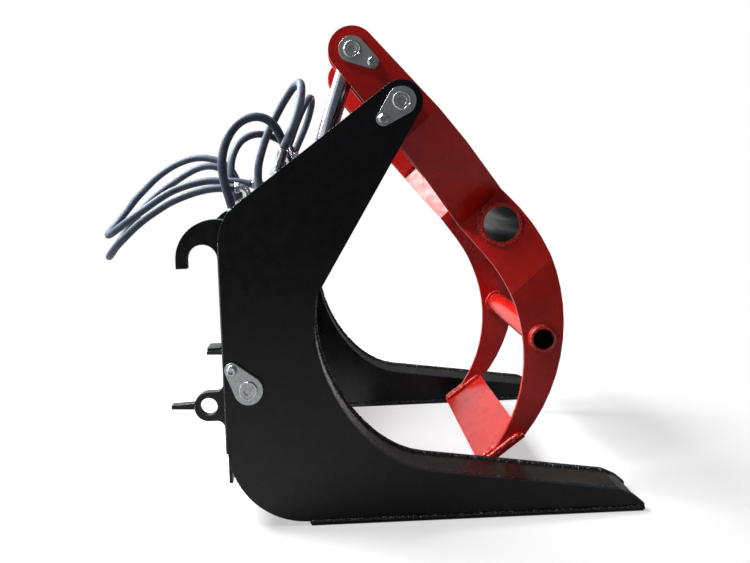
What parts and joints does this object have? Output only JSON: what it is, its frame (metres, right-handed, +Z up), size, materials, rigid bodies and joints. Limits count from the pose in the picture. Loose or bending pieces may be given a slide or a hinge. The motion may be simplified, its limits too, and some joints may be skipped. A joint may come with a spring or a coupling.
{
  "type": "log grapple",
  "caption": "Front-mounted log grapple: two box tines with upright arms, and a folded plate clamp swung shut over the load by two hydraulic cylinders.",
  "frame": {"origin": "on the floor under the wear plates, at the middle of the width and of the length from the guide horns to the tine tips", "axes": "+X towards the tine tips, +Y to the left as seen from the machine that carries it, +Z up"},
  "size_m": [1.3343, 0.955, 1.119],
  "materials": {
    "black_paint": "semi-gloss paint over steel plate",
    "red_paint": "semi-gloss paint over steel plate",
    "zinc": "zinc-plated steel",
    "chrome": "hard-chromed ground steel",
    "steel": "bare machined steel",
    "bronze": "plain bearing bronze",
    "hose_rubber": "smooth rubber hose cover"
  },
  "bodies": {
    "frame": {"side_plate_outer_right": "black_paint", "side_plate_outer_left": "black_paint", "side_plate_inner_right": "black_paint", "side_plate_inner_left": "black_paint", "throat_strip_right": "black_paint", "throat_strip_left": "black_paint", "wear_plate_right": "black_paint", "wear_plate_left": "black_paint", "back_plate": "black_paint", "upper_cross_tube": "black_paint", "lower_cross_tube": "black_paint", "hitch_plate_right": "black_paint", "hitch_plate_left": "black_paint", "guide_horns": "black_paint", "stop_bars": "black_paint", "cylinder_lugs": "black_paint", "pin_sleeves": "steel", "pivot_pin_right": "zinc", "pivot_pin_left": "zinc", "base_pin_right": "zinc", "base_pin_left": "zinc", "frame_pin_bolts": "zinc", "cross_pipes": "zinc", "supply_fittings": "zinc", "coupler_holder": "black_paint", "quick_couplers": "zinc", "head_hose_right": "hose_rubber", "head_hose_left": "hose_rubber", "base_hose_right": "hose_rubber", "base_hose_left": "hose_rubber", "supply_hose_right": "hose_rubber", "supply_hose_left": "hose_rubber"},
    "clamp": {"clamp_plate_right": "red_paint", "clamp_plate_left": "red_paint", "clamp_lug_right": "red_paint", "clamp_lug_left": "red_paint", "waist_tube": "red_paint", "lower_tube": "red_paint", "push_plate": "red_paint", "clamp_hub_right": "red_paint", "clamp_hub_left": "red_paint", "clamp_bushes": "bronze", "rod_pin_right": "zinc", "rod_pin_left": "zinc", "clamp_pin_bolts": "zinc"},
    "barrel_right": {"barrel_right": "black_paint", "gland_right": "black_paint", "barrel_fittings_right": "zinc"},
    "barrel_left": {"barrel_left": "black_paint", "gland_left": "black_paint", "barrel_fittings_left": "zinc"},
    "rod_right": {"piston_rod_right": "chrome", "piston_right": "steel", "rod_eye_right": "steel"},
    "rod_left": {"piston_rod_left": "chrome", "piston_left": "steel", "rod_eye_left": "steel"}
  },
  "joints": [
    {"name": "clamp_swing", "type": "hinge", "parent": "frame", "child": "clamp", "pos_m": [0.04175, 0, 0.924], "axis": [0, -1, 0], "range_deg": [0, 60]},
    {"name": "barrel_swing_right", "type": "hinge", "parent": "frame", "child": "barrel_right", "pos_m": [-0.32325, 0, 0.304], "axis": [0, -1, 0], "range_deg": [0, 2.7], "deforming": ["head_hose_right", "base_hose_right"]},
    {"name": "barrel_swing_left", "type": "hinge", "parent": "frame", "child": "barrel_left", "pos_m": [-0.32325, 0, 0.304], "axis": [0, -1, 0], "range_deg": [0, 2.7], "deforming": ["head_hose_left", "base_hose_left"]},
    {"name": "rod_slide_right", "type": "slide", "parent": "barrel_right", "child": "rod_right", "axis": [0.3311, 0, 0.9436], "range_m": [-0.168, 0]},
    {"name": "rod_slide_left", "type": "slide", "parent": "barrel_left", "child": "rod_left", "axis": [0.3311, 0, 0.9436], "range_m": [-0.168, 0]}
  ],
  "couplings": [
    {"joint": "barrel_swing_right", "follows": "clamp_swing", "ratio": 0.0437},
    {"joint": "rod_slide_right", "follows": "clamp_swing", "m_per_rad": -0.1597},
    {"joint": "barrel_swing_left", "follows": "clamp_swing", "ratio": 0.0437},
    {"joint": "rod_slide_left", "follows": "clamp_swing", "m_per_rad": -0.1597}
  ]
}
